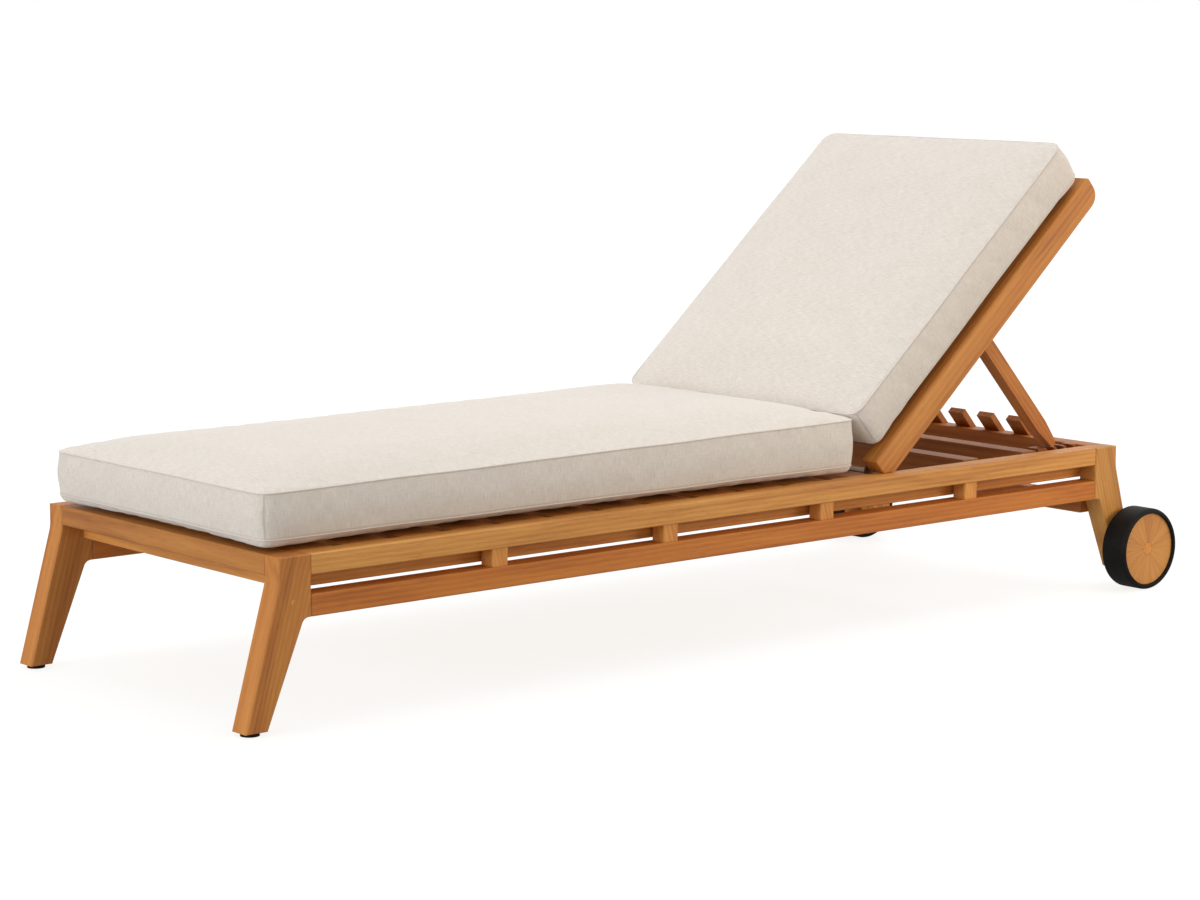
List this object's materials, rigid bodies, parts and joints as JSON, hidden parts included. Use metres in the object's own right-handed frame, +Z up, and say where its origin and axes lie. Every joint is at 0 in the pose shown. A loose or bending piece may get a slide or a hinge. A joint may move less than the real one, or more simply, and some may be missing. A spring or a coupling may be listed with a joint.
{
  "type": "garden chaise lounge",
  "caption": "Garden chaise lounge in teak boards with a slatted reclining back on a folding prop frame, wooden wheels with rubber tyres at the head end, and loose boxed cushions.",
  "frame": {"origin": "on the floor under the middle of the chaise's bounding box", "axes": "X from the foot end to the head end with the wheels, Y across with the left side at -Y, Z up"},
  "size_m": [2.07, 0.812, 0.846],
  "materials": {
    "teak": "oiled teak, satin",
    "teak_plug": "oiled teak end plug, satin",
    "cushion_fabric": "pale outdoor weave, matte",
    "tyre_rubber": "solid rubber, matte",
    "glide_rubber": "moulded rubber, matte",
    "steel": "stainless, brushed"
  },
  "bodies": {
    "frame": {"axle_bolts": "steel", "back_bearers": "teak", "foot_apron": "teak", "foot_glides": "glide_rubber", "foot_ledger": "teak", "head_apron": "teak", "head_fingers": "teak", "head_stretcher": "teak", "hinge_bearer": "teak", "hinge_brackets": "steel", "hinge_pins": "steel", "hinge_screws": "steel", "leg_front_left": "teak", "leg_front_right": "teak", "leg_rear_left": "teak", "leg_rear_right": "teak", "lower_rail_left": "teak", "lower_rail_right": "teak", "prop_rack_left": "teak", "prop_rack_right": "teak", "screw_plugs": "teak_plug", "seat_cushion": "cushion_fabric", "seat_slat_01": "teak", "seat_slat_02": "teak", "seat_slat_03": "teak", "seat_slat_04": "teak", "seat_slat_05": "teak", "seat_slat_06": "teak", "seat_slat_07": "teak", "seat_slat_08": "teak", "seat_slat_09": "teak", "seat_slat_10": "teak", "seat_slat_11": "teak", "seat_slat_12": "teak", "side_ledger_left": "teak", "side_ledger_right": "teak", "spacer_blocks": "teak", "upper_rail_left": "teak", "upper_rail_right": "teak"},
    "backrest": {"back_bottom_rail": "teak", "back_cushion": "cushion_fabric", "back_slat_1": "teak", "back_slat_2": "teak", "back_slat_3": "teak", "back_slat_4": "teak", "back_slat_5": "teak", "back_slat_6": "teak", "back_stile_left": "teak", "back_stile_right": "teak", "back_top_rail": "teak", "prop_bolts": "steel"},
    "prop": {"prop_arm_left": "teak", "prop_arm_right": "teak", "prop_spreader": "teak"},
    "wheel_left": {"hub_plug_left": "teak_plug", "wheel_disc_left": "teak", "wheel_tyre_left": "tyre_rubber"},
    "wheel_right": {"hub_plug_right": "teak_plug", "wheel_disc_right": "teak", "wheel_tyre_right": "tyre_rubber"}
  },
  "joints": [
    {"name": "backrest_recline", "type": "hinge", "parent": "frame", "child": "backrest", "pos_m": [0.354, 0, 0.295], "axis": [0, 1, 0], "range_deg": [0, 41.5]},
    {"name": "prop_swing", "type": "hinge", "parent": "backrest", "child": "prop", "pos_m": [0.60548, 0, 0.51482], "axis": [0, -1, 0], "range_deg": [0, 89.31]},
    {"name": "wheel_left_spin", "type": "hinge", "parent": "frame", "child": "wheel_left", "pos_m": [0.958, -0.378, 0.077], "axis": [0, 1, 0], "continuous": true},
    {"name": "wheel_right_spin", "type": "hinge", "parent": "frame", "child": "wheel_right", "pos_m": [0.958, 0.378, 0.077], "axis": [0, 1, 0], "continuous": true}
  ],
  "couplings": [
    {"joint": "prop_swing", "follows": "backrest_recline", "ratio": 2.1521}
  ]
}
